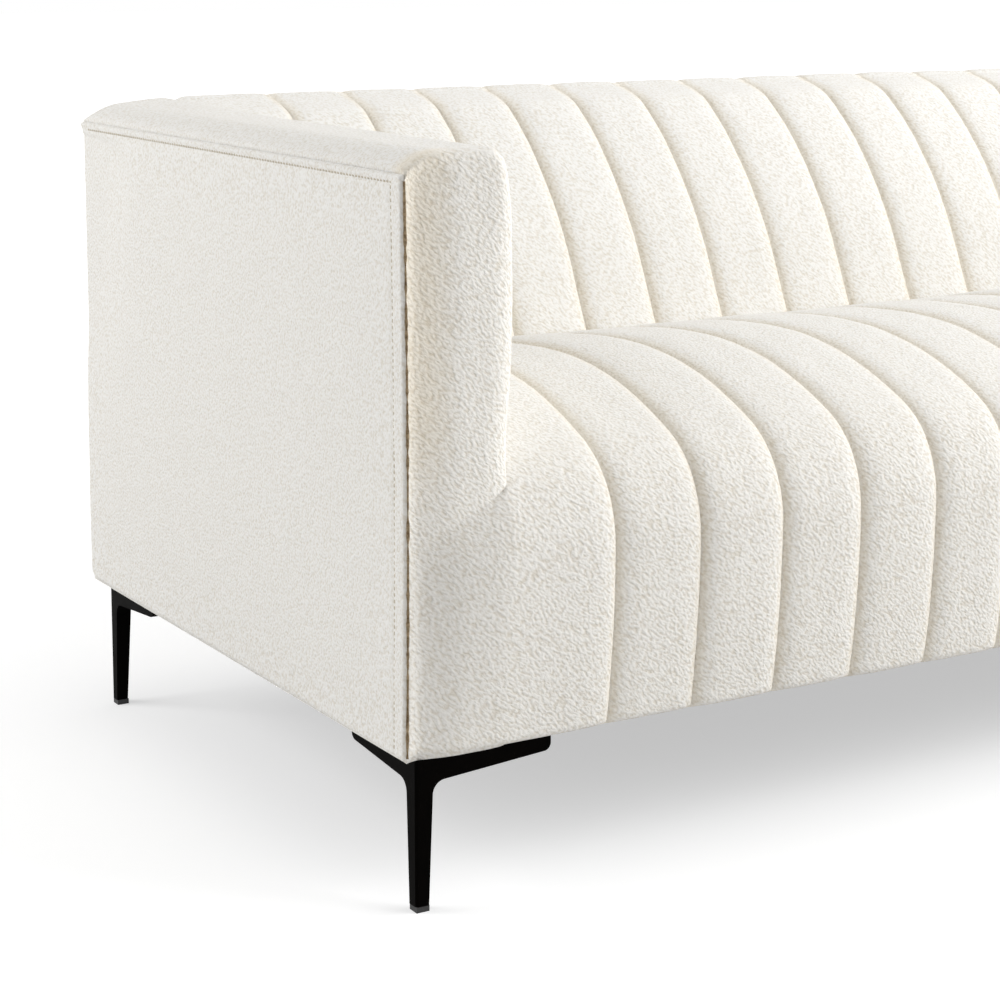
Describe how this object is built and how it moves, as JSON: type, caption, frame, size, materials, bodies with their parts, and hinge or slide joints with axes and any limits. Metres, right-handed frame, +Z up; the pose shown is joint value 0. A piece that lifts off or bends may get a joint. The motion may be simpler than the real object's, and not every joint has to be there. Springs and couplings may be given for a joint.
{
  "type": "tuxedo sofa",
  "caption": "Low tuxedo sofa with arms as high as the back, a tight channelled bench seat and back in ivory boucle, and slim dark metal corner legs.",
  "frame": {"origin": "on the floor, under the middle of the whole sofa", "axes": "+X to the right arm as seen by someone facing the sofa, -Y out of its front, +Z up"},
  "size_m": [2.0856, 0.817, 0.7438],
  "materials": {
    "boucle": "looped wool-like pile, ivory",
    "wood": "planed hardwood",
    "plywood": "sanded plywood",
    "fibreboard": "smooth brown board",
    "foam": "open cell foam",
    "wadding": "loose fibre",
    "felt": "needled felt",
    "webbing": "woven jute",
    "hessian": "plain weave",
    "dust_cloth": "black non-woven",
    "spring_steel": "oil tempered",
    "screw_steel": "zinc plated",
    "leg_metal": "satin near-black bronze",
    "glide_plastic": "moulded"
  },
  "bodies": {
    "root": {"arm_cover_left": "boucle", "arm_cover_right": "boucle", "arm_front_foam_left": "foam", "arm_front_foam_right": "foam", "arm_front_post_left": "wood", "arm_front_post_right": "wood", "arm_inner_board_left": "fibreboard", "arm_inner_board_right": "fibreboard", "arm_inner_foam_left": "foam", "arm_inner_foam_right": "foam", "arm_outer_board_left": "fibreboard", "arm_outer_board_right": "fibreboard", "arm_rear_post_left": "wood", "arm_rear_post_right": "wood", "arm_tack_rail_left": "wood", "arm_tack_rail_right": "wood", "arm_top_foam_left": "foam", "arm_top_foam_right": "foam", "arm_top_rail_left": "wood", "arm_top_rail_right": "wood", "back_bottom_rail": "wood", "back_cover": "boucle", "back_foam": "foam", "back_hessian": "hessian", "back_outer_board": "fibreboard", "back_ribs": "plywood", "back_top_rail": "wood", "back_wadding": "wadding", "back_webbing": "webbing", "corner_blocks": "wood", "dust_cover": "dust_cloth", "frame_dowels": "wood", "frame_screws": "screw_steel", "front_corner_pad_left": "boucle", "front_corner_pad_right": "boucle", "front_rail": "wood", "front_rail_foam": "foam", "leg_front_left": "leg_metal", "leg_front_right": "leg_metal", "leg_glides": "glide_plastic", "leg_rear_left": "leg_metal", "leg_rear_right": "leg_metal", "leg_screws": "screw_steel", "outside_back_cover": "boucle", "seat_cover": "boucle", "seat_foam": "foam", "seat_rear_rail": "wood", "seat_spring_clips": "spring_steel", "seat_springs": "spring_steel", "seat_stringers": "wood", "seat_tie_wires": "spring_steel", "side_cover_left": "boucle", "side_cover_right": "boucle", "side_rail_left": "wood", "side_rail_right": "wood", "side_wadding_left": "wadding", "side_wadding_right": "wadding", "spring_felt_pad": "felt"}
  },
  "joints": []
}
